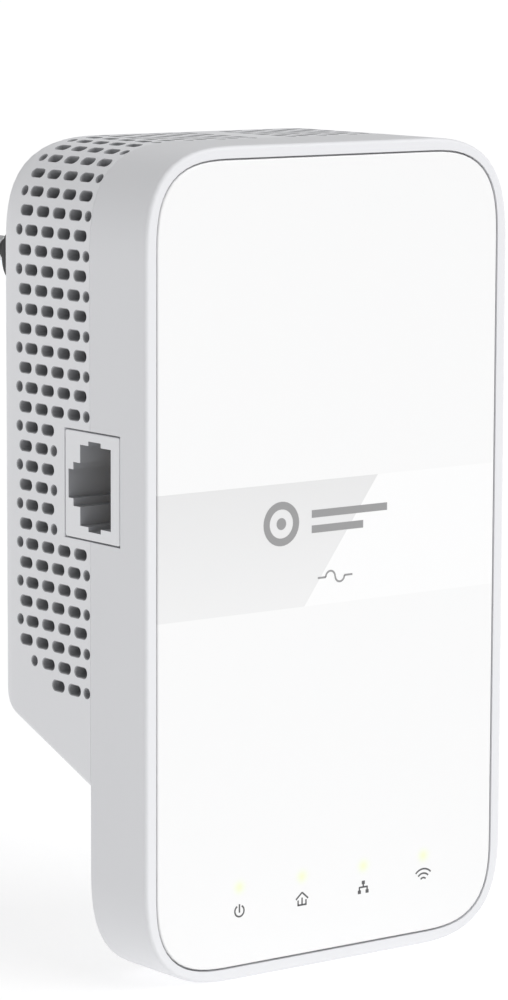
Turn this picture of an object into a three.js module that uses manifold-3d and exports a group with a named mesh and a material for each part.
// A plug-in wifi range extender: a deep front rim with a glossy panel, a vented rear tub with a raking
// underside, a network jack in the side, and a plug block on the back.
//
// Units are millimetres. While it is built, Y runs from the front face (0) to the back, Z is up with 0 at
// mid-height, and X is 0 on the middle plane. The last group moves the origin to the middle of the plug
// block, on the plane of the rear face, which is where the object meets the wall.

import * as THREE from "three";
import { mergeVertices } from "three/addons/utils/BufferGeometryUtils.js";
import Module from "manifold-3d";

const wasm = await Module();
wasm.setup();

// ---------------------------------------------------------------- driving dimensions

const case_width = 68;
const case_height = 124;
const rim_depth = 14;            // front housing, front face to parting line
const tub_depth = 26;            // rear housing, parting line to rear face
const wall = 2;
const corner_reach = 17.5;       // how far a corner's curve runs along each side
const corner_power = 3;          // 2 would be a circle, more is squarer
const corner_steps = 6;
const front_fillet = 0.6;

const bezel_width = 1.85;
const panel_gap = 0.25;          // fine groove round the panel
const panel_thickness = 1.2;
const panel_corner_reach = 14;
const front_wall = 1.6;          // wall behind the panel

const tub_height = 95.4;         // of the rear tub, measured at the parting line
const tub_corner = 8;            // lower corners of the tub
const tub_fillet = 6;            // round the rear face
const tub_rake = 22;             // degrees, how the underside rises towards the back
const lip_length = 2;            // tongue of the tub inside the rim
const lip_thickness = 1.2;
const lip_gap = 0.3;
const lip_root = 0.5;            // how deep the tongue's foot is sunk in the wall
const back_plate = 2.2;          // lower back wall, below the tub

const vent_row_pitch = 2.942;    // along the case's outline
const vent_column_pitch = 4.21;  // along Y
const vent_slot = [3.1, 1.55];   // length and width
const vent_hole = 1.5;
const vent_slots_in_row = 4;
const vent_back_margin = 7.7;    // rear face to the last hole
const vent_front_margin = 0.93;  // parting line to the first hole
const vent_above_rake = 20.2;    // lowest full row above the tub's foot

const board_thickness = 1.6;
const board_front = 5;           // front face of the main board
const board_margin = 3;          // side wall to the main board
const board_end_margin = 6;      // top and bottom walls to the main board
const board_gap = 0.3;

const jack_width = 13.7;         // along Y
const jack_height = 15.9;        // along Z
const jack_length = 21;          // along X
const jack_above_foot = 45.25;   // its middle, above the tub's foot
const jack_gap = 0.25;
const jack_socket_depth = 14;
const jack_bezel_thickness = 1;
const jack_bezel_rim = 0.4;      // how far the bezel stands past the jack

// Half of the socket's mouth: [distance from the board, half height], from the contact side to the latch.
const socket_profile = [
  [2.1, 6.02],
  [4.65, 6.02],
  [4.65, 6.7],
  [7.8, 6.7],
  [7.8, 6.02],
  [9.9, 6.02],
  [9.9, 3.27],
  [11.65, 3.27],
  [11.65, 2.16],
  [12.9, 2.16],
];
const contact_count = 8;
const contact_pitch = 1.02;
const contact_width = 0.45;
const contact_thickness = 0.35;
const contact_gap = 0.15;
const contact_tail_inset = 2.5;  // from the jack's inner end
const contact_bend_inset = 2;    // from the jack's face

const led_count = 4;
const led_pitch = 11.8;
const led_middle = 0.85;         // X of the row's middle
const led_above_bottom = 14;
const pipe_radius = 1.5;
const pipe_gap = 0.15;
const led_size = [2, 0.8, 1.25];

const button_length = 9;         // along Z
const button_width = 3.6;        // along Y
const button_proud = 0.4;
const button_gap = 0.2;
const button_flange = 0.9;       // how far the flange stands out all round
const flange_thickness = 0.8;
const pair_above_foot = 37.4;
const wifi_above_foot = 23.4;
const reset_above_foot = 13.4;
const pinhole_radius = 0.9;
const switch_size = [5.8, 3.5, 6];
const plunger_radius = 1;
const plunger_proud = 0.9;
const plunger_length = 2;
const plunger_gap = 0.2;
const switch_travel = 0.5;

const boss_radius = 2.75;
const boss_from_side = 9;
const boss_above_bottom = 12;
const boss_floor = 0.5;          // left under the screw's bore
const screw_radius = 1.2;
const screw_tip_gap = 2.1;       // screw's tip to the front wall
const screw_head_radius = 2.5;
const screw_head = 1.1;
const screw_gap = 0.15;

const power_margin = 4;          // side wall to the power board
const power_above_foot = 19.4;
const power_below_top = 8;
const part_gap = 0.8;            // tallest parts to the rear wall
const sheet_thickness = 0.4;
const sheet_gap = 0.6;           // from the sheet to the power board

const connector_x = [14, 26];
const shield_x = 1;
const shield_width = 24;
const shield_rise = 2.4;
const transformer_x = -13;
const transformer_above_foot = 46.4;
const core_size = 18;
const core_leg = 5;
const core_depth = 6;
const window_width = 4.5;
const window_height = 13;
const winding_gap = 0.3;
const antenna_below_top = 12;
const antenna_length = 24;
const antenna_thickness = 0.8;
const antenna_gap = 0.8;
const cable_radius = 0.6;

const plug_below_top = 20.1;     // middle of the plug
const plug_block_depth = 20.5;     // rear face to pin carrier
const plug_half_width = 17.35;
const plug_end_height = 7.6;
const plug_middle_height = 13.7;
const plug_middle_half = 12.6;   // half length of the taller middle
const plug_corner = [1.7, 3.6];  // an oval quarter, along X and Z
const plug_wall = 1.8;
const plug_gap = 0.2;
const plug_flange = 2;
const carrier_thickness = 1;
const carrier_overhang = 0.3;
const carrier_spigot = 4;
const pin_spacing = 19;
const pin_radius = 2;
const pin_core_radius = 1.5;
const pin_length = 19;
const sleeve_length = 10;
const sleeve_radius = 1.9;
const pin_gap = 0.1;
const pin_inset = 3;             // pin's inner end, from the inside of the rear wall
const strap_width = 5;
const strap_thickness = 0.5;

const label_width = 40;          // shallow recess for the rating label
const label_height = 24;
const label_depth = 0.3;
const label_above_foot = 30;

// ---------------------------------------------------------------- derived places

const half_width = case_width / 2;
const half_height = case_height / 2;
const parting = rim_depth;
const rear_face = rim_depth + tub_depth;
const tub_bottom = half_height - tub_height;
const rake_slope = Math.tan(THREE.MathUtils.degToRad(tub_rake));
const rim_floor = panel_thickness + front_wall;
const board_width = case_width - 2 * (wall + board_margin);
const board_height = case_height - 2 * (wall + board_end_margin);
const board_back = board_front + board_thickness;
const jack_front = board_back;
const jack_back = jack_front + jack_width;
const jack_level = tub_bottom + jack_above_foot;
const jack_face = -half_width;
const socket_floor = jack_front + socket_profile[0][0];
const contact_tail = jack_face + jack_length - contact_tail_inset;
const contact_bend = jack_face + contact_bend_inset;
const power_front = jack_back + board_gap + sheet_thickness + sheet_gap;
const power_back = power_front + board_thickness;
const power_width = case_width - 2 * (wall + power_margin);
const power_bottom = tub_bottom + power_above_foot;
const power_height = half_height - power_below_top - power_bottom;
const part_room = rear_face - wall - part_gap - power_back;
const led_level = -half_height + led_above_bottom;
const boss_x = half_width - boss_from_side;
const boss_level = -half_height + boss_above_bottom;
const plug_level = half_height - plug_below_top;
const pair_level = tub_bottom + pair_above_foot;
const wifi_level = tub_bottom + wifi_above_foot;
const reset_level = tub_bottom + reset_above_foot;
const label_level = tub_bottom + label_above_foot;
const screw_length = parting - screw_head - rim_floor - screw_tip_gap;
const carrier_face = rear_face + plug_block_depth + carrier_thickness;
const pin_inner_end = rear_face - wall - pin_inset;
const button_depth = board_back + switch_size[1] / 2;
const flange_back = half_width - wall - board_gap;
const switch_face = flange_back - flange_thickness - plunger_proud - 0.7;
const plunger_end = switch_face + plunger_proud;
const connector_z = [power_bottom + 8, power_bottom + 12];
const transformer_z = tub_bottom + transformer_above_foot;
const antenna_levels = [half_height - antenna_below_top - antenna_length, half_height - antenna_below_top];

// ---------------------------------------------------------------- shapes

function points_shape(points) {
  return new THREE.Shape(points.map(([x, y]) => new THREE.Vector2(x, y)));
}

// One corner of the case in plan, from the side round to the top, about its own centre.
function corner_points(reach, power, steps) {
  const points = [];
  for (let i = 0; i <= steps; i += 1) {
    const angle = (i / steps) * (Math.PI / 2);
    const across = reach * Math.max(Math.cos(angle), 0) ** (2 / power);
    const up = reach * Math.max(Math.sin(angle), 0) ** (2 / power);
    points.push([across, up]);
  }
  return points;
}

// A closed outline, symmetric left and right, from its right-hand half, lowest point first.
function mirrored_shape(right) {
  const left = right.map(([x, y]) => [-x, y]).reverse();
  return points_shape([...right, ...left]);
}

function quarter(points, centre_x, centre_y, side) {
  const placed = points.map(([x, y]) => [centre_x + x, centre_y + side * y]);
  return side > 0 ? placed : placed.reverse();
}

// The case's outline moved in by an inset.
function case_shape(inset, reach = corner_reach - inset) {
  const corner = corner_points(reach, corner_power, corner_steps);
  const centre_x = half_width - inset - reach;
  const centre_y = half_height - inset - reach;
  const lower = quarter(corner, centre_x, -centre_y, -1);
  const upper = quarter(corner, centre_x, centre_y, 1);
  return mirrored_shape([...lower, ...upper]);
}

// The tub's outline at the parting line: the case's corners above, plain rounds below.
function tub_shape(inset) {
  const reach = corner_reach - inset;
  const radius = tub_corner - inset;
  const upper = corner_points(reach, corner_power, corner_steps);
  const lower = corner_points(radius, 2, corner_steps - 2);
  const right = half_width - inset;
  const floor = tub_bottom + inset * Math.hypot(1, rake_slope);
  return mirrored_shape([
    ...quarter(lower, right - radius, floor + radius, -1),
    ...quarter(upper, right - reach, half_height - inset - reach, 1),
  ]);
}

function rounded_shape(centre_x, centre_y, width, height, radius, steps = 3) {
  const corner = corner_points(radius, 2, steps);
  const reach_x = width / 2 - radius;
  const reach_y = height / 2 - radius;
  const right = [...quarter(corner, reach_x, -reach_y, -1), ...quarter(corner, reach_x, reach_y, 1)];
  const left = right.map(([x, y]) => [-x, -y]);
  return points_shape([...right, ...left].map(([x, y]) => [centre_x + x, centre_y + y]));
}

function round_shape(centre_x, centre_y, radius, sides) {
  const points = [];
  for (let i = 0; i < sides; i += 1) {
    const angle = ((i + 0.5) / sides) * 2 * Math.PI;
    points.push([centre_x + radius * Math.cos(angle), centre_y + radius * Math.sin(angle)]);
  }
  return points_shape(points);
}

// A bent strip seen from its edge: the outline that stays half a thickness from a line of points.
function strip_shape(line, thickness) {
  const sides = [[], []];
  line.forEach((point, i) => {
    const here = new THREE.Vector2(...point);
    const before = new THREE.Vector2(...(line[i - 1] ?? point));
    const after = new THREE.Vector2(...(line[i + 1] ?? point));
    const way_in = here.clone().sub(before).normalize();
    const way_out = after.clone().sub(here).normalize();
    const way = way_in.clone().add(way_out).normalize();
    const across = new THREE.Vector2(-way.y, way.x);
    const known = way_in.lengthSq() > 0 ? way_in : way_out;
    const reach = thickness / 2 / Math.abs(across.dot(new THREE.Vector2(-known.y, known.x)));
    sides[0].push([here.x + across.x * reach, here.y + across.y * reach]);
    sides[1].unshift([here.x - across.x * reach, here.y - across.y * reach]);
  });
  return points_shape([...sides[0], ...sides[1]]);
}

// ---------------------------------------------------------------- solids

const turn_to_y = new THREE.Matrix4().makeBasis(
  new THREE.Vector3(1, 0, 0),
  new THREE.Vector3(0, 0, 1),
  new THREE.Vector3(0, -1, 0),
);
const turn_to_x = new THREE.Matrix4().makeBasis(
  new THREE.Vector3(0, 1, 0),
  new THREE.Vector3(0, 0, 1),
  new THREE.Vector3(1, 0, 0),
);

function extrude(shape, depth, fillet = 0, fillet_steps = 3) {
  return new THREE.ExtrudeGeometry(shape, {
    depth: depth - 2 * fillet,
    bevelEnabled: fillet > 0,
    bevelThickness: fillet,
    bevelSize: fillet,
    bevelOffset: -fillet,
    bevelSegments: fillet_steps,
    steps: 1,
  }).translate(0, 0, fillet);
}

// The shape lies in X and Z, and runs from front to back.
function along_y(shape, front, back, fillet = 0, fillet_steps = 3) {
  return extrude(shape, back - front, fillet, fillet_steps).applyMatrix4(turn_to_y).translate(0, back, 0);
}

// The shape lies in Y and Z, and runs from left to right.
function along_x(shape, left, right) {
  return extrude(shape, right - left).applyMatrix4(turn_to_x).translate(left, 0, 0);
}

// The shape lies in X and Y, and runs from low to high.
function along_z(shape, low, high) {
  return extrude(shape, high - low).translate(0, 0, low);
}

function box(x, y, z) {
  const size = [x, y, z].map(([low, high]) => high - low);
  const middle = [x, y, z].map(([low, high]) => (low + high) / 2);
  return new THREE.BoxGeometry(...size).translate(...middle);
}

// A turned piece whose axis runs along Y: the profile is [radius, y] from the front to the back.
function turned_y(profile, x, z, sides) {
  const points = profile.map(([radius, y]) => new THREE.Vector2(radius, y));
  return new THREE.LatheGeometry(points, sides).translate(x, 0, z);
}

function solid(geometry) {
  const bare = geometry.clone();
  bare.deleteAttribute("normal");
  bare.deleteAttribute("uv");
  const merged = mergeVertices(bare, 1e-4);
  const corners = merged.index.array;
  const faces = [];
  for (let i = 0; i < corners.length; i += 3) {
    const [a, b, c] = [corners[i], corners[i + 1], corners[i + 2]];
    if (a !== b && b !== c && c !== a) faces.push(a, b, c);
  }
  return new wasm.Manifold(new wasm.Mesh({
    numProp: 3,
    vertProperties: new Float32Array(merged.attributes.position.array),
    triVerts: new Uint32Array(faces),
  }));
}

function cut(base, ...tools) {
  return tools.reduce((body, tool) => body.subtract(tool), base);
}

function join(base, ...more) {
  return more.reduce((body, piece) => body.add(piece), base);
}

function geometry_of(body) {
  const shell = body.getMesh();
  const geometry = new THREE.BufferGeometry();
  geometry.setAttribute("position", new THREE.BufferAttribute(shell.vertProperties, 3));
  geometry.setIndex(new THREE.BufferAttribute(shell.triVerts, 1));
  return geometry;
}

// ---------------------------------------------------------------- materials

function finish(color, roughness, metalness = 0) {
  return () => new THREE.MeshStandardMaterial({ color, roughness, metalness });
}

const rim_white = finish(0xe8ebee, 0.5);
const tub_white = finish(0xdfe2e5, 0.6);
const panel_white = finish(0xfbfbfb, 0.12);
const jack_grey = finish(0xd9dbdd, 0.5);
const jack_dark = finish(0x6b6e72, 0.5);
const dark_plastic = finish(0x1b1c1e, 0.5);
const pin_metal = finish(0xcdcfd1, 0.25, 1);
const contact_gold = finish(0xc9a24a, 0.3, 1);
const board_green = finish(0x1f5a3a, 0.55);
const steel_can = finish(0xb9bcbf, 0.35, 1);
const heat_sink_grey = finish(0x8d9194, 0.45, 1);
const ferrite = finish(0x2c2c2e, 0.7);
const winding_tape = finish(0xd8b23a, 0.6);
const capacitor_sleeve = finish(0x23252a, 0.4);
const clear_plastic = finish(0xe9f0ee, 0.1);
const led_yellow = finish(0xe8f08c, 0.3);
const sheet_film = finish(0xcfd2d4, 0.4);
const ceramic_blue = finish(0x2f5fa8, 0.5);
const brass = finish(0xb7964a, 0.35, 1);
const screw_steel = finish(0x8f9296, 0.3, 1);

// ---------------------------------------------------------------- assembly

const device = new THREE.Group();

function add(name, piece, material) {
  const geometry = piece.isBufferGeometry ? piece : geometry_of(piece);
  const mesh = new THREE.Mesh(geometry, material());
  mesh.name = name;
  device.add(mesh);
}

function led_x(index) {
  return led_middle + (index - (led_count - 1) / 2) * led_pitch;
}

// The notch that lets the jack show through the side, cut from both housings.
function jack_notch() {
  return solid(box(
    [-half_width - 1, -half_width + wall + lip_gap + lip_thickness + 1],
    [jack_front - jack_gap, jack_back + jack_gap],
    [jack_level - jack_height / 2 - jack_gap, jack_level + jack_height / 2 + jack_gap],
  ));
}

function screw_boss(x) {
  const top = parting - back_plate;
  return solid(along_y(round_shape(x, boss_level, boss_radius, 12), rim_floor - 0.5, top));
}

function screw_bore(x) {
  const top = parting - back_plate;
  const bore = round_shape(x, boss_level, screw_radius + screw_gap, 8);
  return solid(along_y(bore, rim_floor + boss_floor, top + 1));
}

function board_post(x, z) {
  return solid(along_y(round_shape(x, z, boss_radius, 8), rim_floor - 0.5, board_front));
}

function front_housing() {
  const outside = solid(along_y(case_shape(0), 0, rim_depth + 2, front_fillet, 2));
  const behind = solid(box(
    [-case_width, case_width],
    [rim_depth, rim_depth + 5],
    [-case_height, case_height],
  ));
  const inside = solid(along_y(case_shape(wall), rim_floor, rim_depth + 5));
  const seat = solid(along_y(case_shape(bezel_width, panel_corner_reach), -1, panel_thickness));
  let body = cut(outside, behind, inside, seat);
  body = join(body, screw_boss(-boss_x), screw_boss(boss_x));
  for (const x of [-boss_x, boss_x]) {
    body = join(body, board_post(x, board_height / 2 - 4), board_post(x, tub_bottom + 9.4));
  }
  body = cut(body, screw_bore(-boss_x), screw_bore(boss_x), jack_notch());
  for (let i = 0; i < led_count; i += 1) {
    const hole = round_shape(led_x(i), led_level, pipe_radius + pipe_gap, 10);
    body = cut(body, solid(along_y(hole, 0, rim_floor + 1)));
  }
  for (const level of [pair_level, wifi_level]) {
    body = cut(body, button_solid(level, button_gap, half_width - wall - 1, half_width + 1));
  }
  const pinhole = round_shape(button_depth, reset_level, pinhole_radius, 8);
  return cut(body, solid(along_x(pinhole, half_width - wall - 1, half_width + 1)));
}

function front_panel() {
  const inset = bezel_width + panel_gap;
  return along_y(case_shape(inset, panel_corner_reach - panel_gap), 0, panel_thickness, 0.25, 1);
}

// The tub as a solid, moved in by an inset. The lower half of each section rises with depth.
function tub_solid(inset, front, back, fillet) {
  const run_in = 1;
  const geometry = along_y(tub_shape(inset), front - fillet - run_in, back, fillet, 4);
  const places = geometry.attributes.position;
  for (let i = 0; i < places.count; i += 1) {
    if (places.getZ(i) < 0) {
      places.setZ(i, places.getZ(i) + rake_slope * (places.getY(i) - parting));
    }
  }
  const before = box([-case_width, case_width], [front - 20, front], [-case_height, case_height]);
  return cut(solid(geometry), solid(before));
}

// The tongue that locates the tub inside the rim, with the lower back wall across it.
function tub_lip() {
  const top = parting - lip_length;
  const tongue = solid(along_y(case_shape(wall + lip_gap), top, parting + 1));
  const root = solid(along_y(case_shape(wall - lip_root), parting + lip_root, parting + lip_length + 1));
  const within = case_shape(wall + lip_gap + lip_thickness);
  const inside = solid(along_y(within, top - 1, parting + lip_length + 2));
  const above = box([-case_width, case_width], [0, rear_face], [tub_bottom + 1.5 * wall, case_height]);
  const ring = cut(join(tongue, root), inside).intersect(solid(above));
  const notches = [pair_level, wifi_level].map((level) => button_solid(
    level,
    button_flange + button_gap,
    half_width - wall - lip_gap - lip_thickness - 1,
    half_width - wall,
  ));
  return cut(ring, ...notches);
}

function lower_back_wall() {
  const plate = solid(along_y(case_shape(wall + lip_gap), parting - back_plate, parting));
  const top = tub_bottom + 2 * wall;
  const above = box([-case_width, case_width], [0, rear_face], [top, case_height]);
  const web = solid(box(
    [-half_width + 3 * wall, half_width - 3 * wall],
    [parting - back_plate, parting + wall],
    [tub_bottom + wall / 4, top],
  ));
  return join(cut(plate, solid(above)), web);
}

function rear_housing() {
  const outside = tub_solid(0, parting, rear_face, tub_fillet);
  const inside = tub_solid(wall, parting - 1, rear_face - wall, tub_fillet - wall);
  const label = rounded_shape(0, label_level, label_width, label_height, 2, 2);
  let body = cut(outside, inside, vents(), solid(along_y(label, rear_face - label_depth, rear_face + 1)));
  body = join(body, tub_lip(), lower_back_wall());
  body = cut(body, jack_notch(), solid(along_y(plug_shape(plug_gap), rear_face - wall - 1, rear_face + 1)));
  for (const x of [-boss_x, boss_x]) {
    const shank = round_shape(x, boss_level, screw_radius + screw_gap, 8);
    const head = round_shape(x, boss_level, screw_head_radius + screw_gap, 12);
    body = cut(
      body,
      solid(along_y(shank, parting - back_plate - 1, parting + 1)),
      solid(along_y(head, parting - screw_head, parting + 1)),
    );
  }
  return body;
}

// ---------------------------------------------------------------- vents

// Points up the left side and over to the middle of the top, from the lowest full row, as [x, z].
function vent_path() {
  const corner = corner_points(corner_reach, corner_power, 40);
  const centre_x = -half_width + corner_reach;
  const centre_z = half_height - corner_reach;
  const lowest = [-half_width, tub_bottom + vent_above_rake];
  return [lowest, ...corner.map(([x, z]) => [centre_x - x, centre_z + z]), [0, half_height]];
}

// Where each row stands: a point on the outline, and the angle of the way out from X.
function vent_rows() {
  const path = vent_path();
  const rows = [];
  let travelled = 0;
  for (let i = 1; i < path.length; i += 1) {
    const [x, z] = path[i - 1];
    const step_x = path[i][0] - x;
    const step_z = path[i][1] - z;
    const length = Math.hypot(step_x, step_z);
    while (rows.length * vent_row_pitch < travelled + length) {
      const share = (rows.length * vent_row_pitch - travelled) / length;
      const out = Math.atan2(step_x, -step_z);
      rows.push({ x: x + share * step_x, z: z + share * step_z, out });
    }
    travelled += length;
  }
  const reach = travelled - (rows.length - 1) * vent_row_pitch;
  if (reach < vent_slot[1] * 0.7) rows.pop();
  return rows;
}

// One straight-sided opening through the wall, its length along Y, square to the outline.
function vent_opening(row, side, depth, length, width) {
  const upright = box([-wall - 1, 1], [depth - length / 2, depth + length / 2], [-width / 2, width / 2]);
  const turn = side < 0 ? row.out : Math.PI - row.out;
  return solid(upright.rotateY(-turn).translate(-side * row.x, 0, row.z));
}

// Depths of one row's slots and of its hole. Rows take turns: a hole at the back, then one at the front.
function row_depths(index, near_jack) {
  const hole_at_back = index % 2 === 1;
  const back = rear_face - vent_back_margin;
  const spacing = (vent_slot[0] + vent_hole) / 2 + (vent_column_pitch - vent_slot[0]) * 0.8;
  const first = hole_at_back ? back - spacing : back - vent_column_pitch * 0.375;
  const front = parting + vent_front_margin + vent_hole / 2;
  const room = first - vent_slot[0] / 2 - (hole_at_back ? parting + vent_front_margin : front);
  const fitting = Math.min(vent_slots_in_row, Math.floor(room / vent_column_pitch) + 1);
  const count = near_jack ? Math.min(2, fitting) : fitting;
  const slots = Array.from({ length: count }, (_, i) => first - i * vent_column_pitch);
  const after = slots[count - 1] - spacing;
  const hole = hole_at_back ? back : after;
  return { slots, holes: near_jack && !hole_at_back ? [after] : [hole] };
}

function vents() {
  const reach = jack_height / 2 + jack_gap + vent_slot[1];
  const tools = [];
  vent_rows().forEach((row, index) => {
    for (const side of [-1, 1]) {
      const near_jack = side < 0 && Math.abs(row.z - jack_level) < reach;
      const { slots, holes } = row_depths(index, near_jack);
      slots.forEach((depth) => tools.push(vent_opening(row, side, depth, ...vent_slot)));
      holes.forEach((depth) => tools.push(vent_opening(row, side, depth, vent_hole, vent_hole)));
    }
  });
  return wasm.Manifold.union(tools);
}

function housing_screw(x) {
  const profile = [
    [0, parting - screw_head - screw_length],
    [screw_radius * 0.4, parting - screw_head - screw_length],
    [screw_radius, parting - screw_head - screw_length + 1.5],
    [screw_radius, parting - screw_head],
    [screw_head_radius, parting - screw_head],
    [screw_head_radius, parting - 0.3],
    [screw_head_radius - 0.3, parting],
    [0, parting],
  ];
  return turned_y(profile, x, boss_level, 12);
}

// ---------------------------------------------------------------- plug

// The plug block's outline: low ends with tight corners, and a taller middle with slanting shoulders.
function plug_shape(grow) {
  const end = plug_end_height / 2 + grow;
  const middle = plug_middle_height / 2 + grow;
  const half = plug_half_width + grow;
  const [across, up] = plug_corner.map((radius) => Math.max(radius + grow, 0.2));
  const shoulder = plug_middle_half + grow * (Math.SQRT2 - 1);
  const slope_end = shoulder + (middle - end) * 0.8;
  const corner = corner_points(1, 2, 3).map(([x, z]) => [x * across, z * up]);
  const right = [
    [shoulder, -middle],
    [slope_end, -end],
    ...quarter(corner, half - across, up - end, -1),
    ...quarter(corner, half - across, end - up, 1),
    [slope_end, end],
    [shoulder, middle],
  ];
  const left = right.map(([x, z]) => [-x, z]).reverse();
  return points_shape([...right, ...left].map(([x, z]) => [x, z + plug_level]));
}

function plug_block() {
  const inner_face = rear_face - wall;
  const tube = solid(along_y(plug_shape(0), inner_face - plug_flange, rear_face + plug_block_depth));
  const flange = solid(along_y(plug_shape(plug_flange), inner_face - plug_flange, inner_face));
  const hollow = solid(along_y(
    plug_shape(-plug_wall),
    inner_face - plug_flange - 1,
    rear_face + plug_block_depth + 1,
  ));
  return cut(join(tube, flange), hollow);
}

function pin_carrier() {
  const plate_front = rear_face + plug_block_depth;
  const plate = solid(along_y(plug_shape(carrier_overhang), plate_front, carrier_face));
  const within = plug_shape(-plug_wall - plug_gap);
  const spigot = solid(along_y(within, plate_front - carrier_spigot, plate_front));
  let body = join(plate, spigot);
  for (const x of [-pin_spacing / 2, pin_spacing / 2]) {
    const bore = round_shape(x, plug_level, pin_core_radius + pin_gap, 12);
    body = cut(body, solid(along_y(bore, plate_front - carrier_spigot - 1, carrier_face + 1)));
  }
  return body;
}

function pin(x) {
  const tip = carrier_face + pin_length;
  const shoulder = carrier_face + sleeve_length;
  const profile = [
    [0, pin_inner_end],
    [pin_core_radius, pin_inner_end],
    [pin_core_radius, shoulder],
    [pin_radius, shoulder],
    [pin_radius, tip - 1.2],
    [pin_radius * 0.8, tip - 0.4],
    [pin_radius * 0.4, tip],
    [0, tip],
  ];
  return turned_y(profile, x, plug_level, 12);
}

function pin_sleeve(x) {
  const outside = round_shape(x, plug_level, sleeve_radius, 12);
  const outer = solid(along_y(outside, carrier_face, carrier_face + sleeve_length));
  const bore = round_shape(x, plug_level, pin_core_radius + pin_gap, 12);
  return cut(outer, solid(along_y(bore, carrier_face - 1, carrier_face + sleeve_length + 1)));
}

// A brass strip from the back of the power board to the inner end of a pin.
function contact_strap(x) {
  const face = pin_inner_end - strap_thickness / 2;
  const foot = plug_level - 4;
  const line = [[power_back, foot], [face, foot], [face, plug_level + pin_radius]];
  return along_x(strip_shape(line, strap_thickness), x - strap_width / 2, x + strap_width / 2);
}

// ---------------------------------------------------------------- network jack

function socket_shape() {
  const upper = socket_profile.map(([y, half]) => [jack_front + y, jack_level + half]);
  const lower = socket_profile.map(([y, half]) => [jack_front + y, jack_level - half]).reverse();
  return points_shape([...lower, ...upper].reverse());
}

function contact_z(index) {
  return jack_level + (index - (contact_count - 1) / 2) * contact_pitch;
}

function contact_groove(index) {
  const half = contact_width / 2 + contact_gap;
  const across = [contact_z(index) - half, contact_z(index) + half];
  const depth = contact_thickness + 2 * contact_gap;
  const near = contact_tail - contact_thickness / 2 - contact_gap;
  const far = contact_tail + contact_thickness / 2 + contact_gap;
  const run = box([contact_bend - contact_gap, far], [socket_floor - depth, socket_floor + 0.1], across);
  const tail = box([near, far], [jack_front - 1, socket_floor], across);
  return join(solid(run), solid(tail));
}

function jack_block(near, far, inset) {
  const body = solid(box(
    [near, far],
    [jack_front, jack_back - inset],
    [jack_level - jack_height / 2 + inset, jack_level + jack_height / 2 - inset],
  ));
  return cut(body, solid(along_x(socket_shape(), jack_face - 1, jack_face + jack_socket_depth)));
}

function jack_bezel() {
  return jack_block(jack_face, jack_face + jack_bezel_thickness, 0);
}

function ethernet_jack() {
  let jack = jack_block(jack_face + jack_bezel_thickness, jack_face + jack_length, jack_bezel_rim);
  for (let i = 0; i < contact_count; i += 1) jack = cut(jack, contact_groove(i));
  return jack;
}

function jack_contact(index) {
  const lower = socket_floor - contact_gap - contact_thickness / 2;
  const line = [
    [contact_tail, jack_front],
    [contact_tail, lower],
    [contact_bend + 0.6, lower],
    [contact_bend + 0.25, lower + 0.35],
    [contact_bend + 0.6, lower + 0.7],
    [jack_face + jack_socket_depth - 1, lower + 3],
  ];
  const across = contact_z(index);
  const strip = strip_shape(line, contact_thickness);
  return along_z(strip, across - contact_width / 2, across + contact_width / 2);
}

// ---------------------------------------------------------------- lights

function light_pipe(index) {
  return along_y(round_shape(led_x(index), led_level, pipe_radius, 12), panel_thickness, board_front - 1.1);
}

function led(index) {
  const [width, depth, height] = led_size;
  return along_y(
    rounded_shape(led_x(index), led_level, width, height, 0.2, 1),
    board_front - depth,
    board_front,
  );
}

function light_baffle() {
  const end = pipe_radius + 1;
  const length = (led_count - 1) * led_pitch + 2 * end;
  const bar = rounded_shape(led_middle, led_level, length, 2 * end, 1, 2);
  let body = solid(along_y(bar, rim_floor, board_front));
  for (let i = 0; i < led_count; i += 1) {
    const hole = round_shape(led_x(i), led_level, pipe_radius + pipe_gap, 10);
    body = cut(body, solid(along_y(hole, rim_floor - 1, board_front + 1)));
  }
  return body;
}

// ---------------------------------------------------------------- boards and what they carry

function main_board() {
  let body = solid(along_y(rounded_shape(0, 0, board_width, board_height, 3), board_front, board_back));
  for (const x of [-boss_x, boss_x]) {
    const hole = round_shape(x, boss_level, boss_radius + board_gap, 12);
    body = cut(body, solid(along_y(hole, board_front - 1, board_back + 1)));
  }
  return body;
}

function power_board() {
  const middle = power_bottom + power_height / 2;
  return along_y(rounded_shape(0, middle, power_width, power_height, 3), power_front, power_back);
}

function insulation_sheet() {
  const middle = power_bottom + power_height / 2;
  const back = power_front - sheet_gap;
  const sheet = solid(along_y(
    rounded_shape(0, middle, power_width, power_height, 3),
    back - sheet_thickness,
    back,
  ));
  const hole = box(
    [connector_x[0] - board_gap, connector_x[1] + board_gap],
    [back - 2, back + 2],
    [connector_z[0] - board_gap, connector_z[1] + board_gap],
  );
  return cut(sheet, solid(hole));
}

function shield(x, z, width, height) {
  return along_y(rounded_shape(x, z, width, height, 1, 2), board_back, board_back + shield_rise);
}

function heat_sink() {
  const base = board_back + shield_rise;
  const fins = 6;
  const width = 22;
  const left = shield_x - width / 2;
  const pitch = (width - 1.2) / (fins - 1);
  const comb = [[left, base], [left + width, base]];
  for (let i = fins - 1; i >= 0; i -= 1) {
    const fin = left + i * pitch;
    comb.push([fin + 1.2, base + 5]);
    comb.push([fin, base + 5]);
    if (i > 0) comb.push([fin, base + 1.2], [fin - pitch + 1.2, base + 1.2]);
  }
  const low = tub_bottom + 2 * wall + board_gap;
  return along_z(points_shape(comb), low, low + 22);
}

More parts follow.
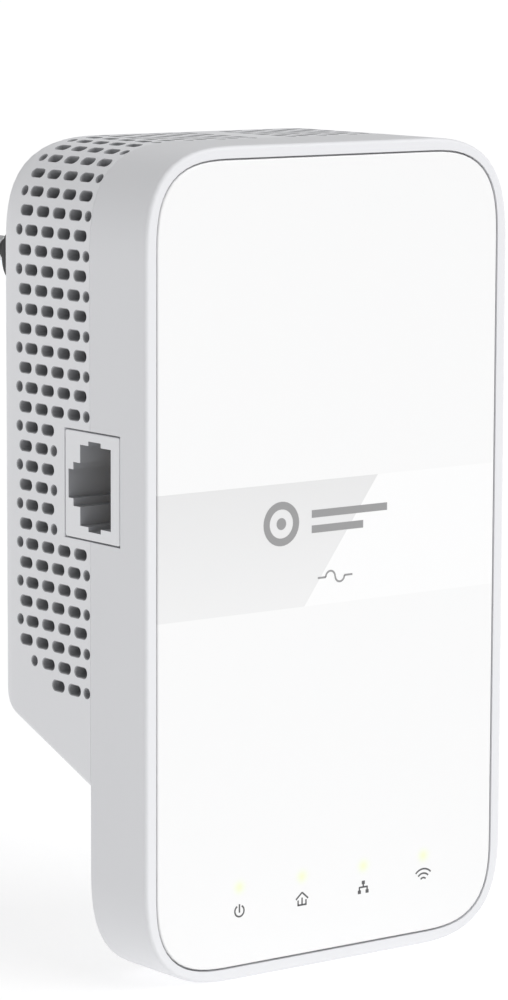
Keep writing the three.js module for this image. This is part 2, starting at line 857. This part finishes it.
function transformer_core() {
  const middle = power_back + part_room / 2;
  const front = middle - core_depth / 2;
  const back = middle + core_depth / 2;
  const square = rounded_shape(transformer_x, transformer_z, core_size, core_size, 0.5, 1);
  const yoke = solid(along_y(square, front, back));
  const reach = (core_leg + window_width) / 2;
  const windows = [-reach, reach].map((offset) => solid(along_y(
    rounded_shape(transformer_x + offset, transformer_z, window_width, window_height, 0.3, 1),
    front - 1,
    back + 1,
  )));
  return cut(yoke, ...windows);
}

function transformer_winding() {
  const middle = power_back + part_room / 2;
  const half = window_height / 2 - winding_gap;
  const width = core_leg + 2 * window_width - 2 * winding_gap;
  const outer = rounded_shape(transformer_x, middle, width, part_room, 2);
  const inner_width = core_leg + 2 * winding_gap;
  const inner = rounded_shape(transformer_x, middle, inner_width, core_depth + 2 * winding_gap, 0.3, 1);
  const low = transformer_z - half;
  const high = transformer_z + half;
  return cut(solid(along_z(outer, low, high)), solid(along_z(inner, low - 1, high + 1)));
}

function bulk_capacitor(x) {
  const radius = 5;
  const top = power_back + part_room - 0.5;
  const profile = [
    [0, power_back],
    [radius - 0.5, power_back],
    [radius, power_back + 0.5],
    [radius, top - 0.5],
    [radius - 0.5, top],
    [0, top],
  ];
  return turned_y(profile, x, tub_bottom + 43.4, 12);
}

function line_fuse() {
  const profile = [
    [0, power_back],
    [2, power_back],
    [2.2, power_back + 0.4],
    [2.2, power_back + 7.6],
    [2, power_back + 8],
    [0, power_back + 8],
  ];
  return turned_y(profile, 22, plug_level - 10.4, 10);
}

function varistor() {
  const across = part_room - plug_flange - 2;
  const disc = rounded_shape(power_back + across / 2, plug_level + 5.6, across, across, across / 2 - 0.1, 3);
  return along_x(disc, 18, 22);
}

function line_choke() {
  return along_y(rounded_shape(-20.5, plug_level - 11.4, 12, 9, 2), power_back, power_back + 10);
}

function coupling_transformer() {
  return along_y(rounded_shape(20, power_bottom + 8, 11, 9, 1, 2), power_back, power_back + 8);
}

function board_connector() {
  return box(connector_x, [board_back, power_front], connector_z);
}

// ---------------------------------------------------------------- antennas

function antenna(side) {
  const outer = half_width - wall - antenna_gap;
  const x = side > 0 ? [outer - antenna_thickness, outer] : [-outer, -outer + antenna_thickness];
  return box(x, [rim_floor + 1.2, parting - lip_length - 1], antenna_levels);
}

function antenna_cable(side) {
  const start = half_width - wall - antenna_gap - antenna_thickness - board_gap;
  const end = side * (shield_x + side * (shield_width / 2 + board_gap + cable_radius / 2));
  const level = half_height - 26;
  const line = new THREE.CatmullRomCurve3([
    new THREE.Vector3(side * start, board_back + 2, level),
    new THREE.Vector3(side * (start - 4), board_back + 2, level),
    new THREE.Vector3(side * (end + start - 4) / 2, board_back + 2.5, level - 3),
    new THREE.Vector3(side * (end + 3), board_back + 2, level - 2),
    new THREE.Vector3(side * end, board_back + 1.2, level - 2),
  ]);
  return new THREE.ExtrudeGeometry(round_shape(0, 0, cable_radius, 5), { steps: 10, extrudePath: line });
}

// ---------------------------------------------------------------- buttons and switches

// A button's outline swept from left to right, grown by a clearance.
function button_solid(level, grow, left, right) {
  const width = button_width + 2 * grow;
  const length = button_length + 2 * grow;
  return solid(along_x(rounded_shape(button_depth, level, width, length, width / 2 - 0.01, 4), left, right));
}

function button(level) {
  const cap = button_solid(level, 0, flange_back - flange_thickness, half_width + button_proud);
  const flange = button_solid(level, button_flange, flange_back - flange_thickness, flange_back);
  const stem = round_shape(button_depth, level, 1.4, 8);
  return join(cap, flange, solid(along_x(stem, plunger_end, flange_back)));
}

function switch_body(level) {
  const [length, depth, height] = switch_size;
  const body = box(
    [switch_face - length, switch_face],
    [board_back, board_back + depth],
    [level - height / 2, level + height / 2],
  );
  const bore = round_shape(button_depth, level, plunger_radius + plunger_gap, 8);
  const floor = plunger_end - plunger_length - switch_travel - plunger_gap;
  return cut(solid(body), solid(along_x(bore, floor, switch_face + 1)));
}

function plunger(level) {
  const rod = round_shape(button_depth, level, plunger_radius, 8);
  return along_x(rod, plunger_end - plunger_length, plunger_end);
}

// ---------------------------------------------------------------- putting it together

add("front_housing", front_housing(), rim_white);
add("front_panel", front_panel(), panel_white);
add("rear_housing", rear_housing(), tub_white);
add("housing_screw_left", housing_screw(-boss_x), screw_steel);
add("housing_screw_right", housing_screw(boss_x), screw_steel);

add("plug_block", plug_block(), rim_white);
add("pin_carrier", pin_carrier(), dark_plastic);
for (const [name, x] of [["left", -pin_spacing / 2], ["right", pin_spacing / 2]]) {
  add(`pin_${name}`, pin(x), pin_metal);
  add(`pin_sleeve_${name}`, pin_sleeve(x), dark_plastic);
  add(`contact_strap_${name}`, contact_strap(x), brass);
}

add("jack_bezel", jack_bezel(), jack_grey);
add("ethernet_jack", ethernet_jack(), jack_dark);
for (let i = 0; i < contact_count; i += 1) add(`jack_contact_${i + 1}`, jack_contact(i), contact_gold);

for (const [i, name] of ["power", "powerline", "network", "wifi"].entries()) {
  add(`led_${name}`, led(i), led_yellow);
  add(`light_pipe_${name}`, light_pipe(i), clear_plastic);
}
add("light_baffle", light_baffle(), dark_plastic);

add("main_board", main_board(), board_green);
add("power_board", power_board(), board_green);
add("insulation_sheet", insulation_sheet(), sheet_film);
add("board_connector", board_connector(), dark_plastic);
add("processor_shield", shield(shield_x, tub_bottom + 15.4, shield_width + 2, 24), steel_can);
add("radio_shield", shield(shield_x, half_height - 27, shield_width, 22), steel_can);
add("heat_sink", heat_sink(), heat_sink_grey);
add("transformer_core", transformer_core(), ferrite);
add("transformer_winding", transformer_winding(), winding_tape);
add("bulk_capacitor_1", bulk_capacitor(8), capacitor_sleeve);
add("bulk_capacitor_2", bulk_capacitor(20), capacitor_sleeve);
add("line_fuse", line_fuse(), sheet_film);
add("varistor", varistor(), ceramic_blue);
add("line_choke", line_choke(), ferrite);
add("coupling_transformer", coupling_transformer(), winding_tape);

for (const [name, side] of [["left", -1], ["right", 1]]) {
  add(`antenna_${name}`, antenna(side), board_green);
  add(`antenna_cable_${name}`, antenna_cable(side), dark_plastic);
}

for (const [name, level] of [["pair", pair_level], ["wifi", wifi_level], ["reset", reset_level]]) {
  add(`${name}_switch`, switch_body(level), dark_plastic);
  add(`${name}_plunger`, plunger(level), sheet_film);
}
add("pair_button", button(pair_level), rim_white);
add("wifi_button", button(wifi_level), rim_white);

device.position.set(0, -rear_face, -plug_level);

const part = new THREE.Group();
part.add(device);

export default part;
